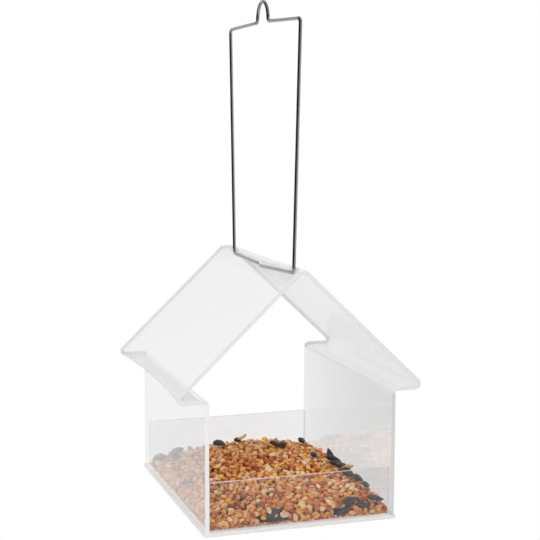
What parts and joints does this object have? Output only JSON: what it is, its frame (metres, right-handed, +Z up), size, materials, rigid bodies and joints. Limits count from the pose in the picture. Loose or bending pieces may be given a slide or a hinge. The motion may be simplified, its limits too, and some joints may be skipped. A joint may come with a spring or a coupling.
{
  "type": "hanging bird table",
  "caption": "Hanging bird table: clear acrylic house with open gables and low end panels round a seed-covered floor, hung from a steel wire bail with a hook loop.",
  "frame": {"origin": "the point where a hook bears inside the hanger's loop, on the underside of the wire", "axes": "+Z up, +Y to the back along the ridge, +X to the right seen from the front"},
  "size_m": [0.1534, 0.1588, 0.3168],
  "materials": {
    "clear_acrylic": "clear, polished faces with pale sawn edges",
    "clear_cement": "clear solvent cement",
    "steel_wire": "bright drawn wire",
    "mixed_seed": "dry wheat, cracked maize and black sunflower seed"
  },
  "bodies": {
    "hanger": {"hanger_wire": "steel_wire"},
    "house": {"house_shell": "clear_acrylic", "floor_plate": "clear_acrylic", "front_panel": "clear_acrylic", "back_panel": "clear_acrylic", "floor_bead_left": "clear_cement", "floor_bead_right": "clear_cement", "floor_bead_front": "clear_cement", "floor_bead_back": "clear_cement", "corner_bead_front_left": "clear_cement", "corner_bead_front_right": "clear_cement", "corner_bead_back_left": "clear_cement", "corner_bead_back_right": "clear_cement", "seed_heap": "mixed_seed"}
  },
  "joints": [
    {"name": "ridge_swing", "type": "hinge", "parent": "hanger", "child": "house", "pos_m": [0, 0, -0.1625], "axis": [0, 1, 0], "range_deg": [-25, 25]}
  ]
}
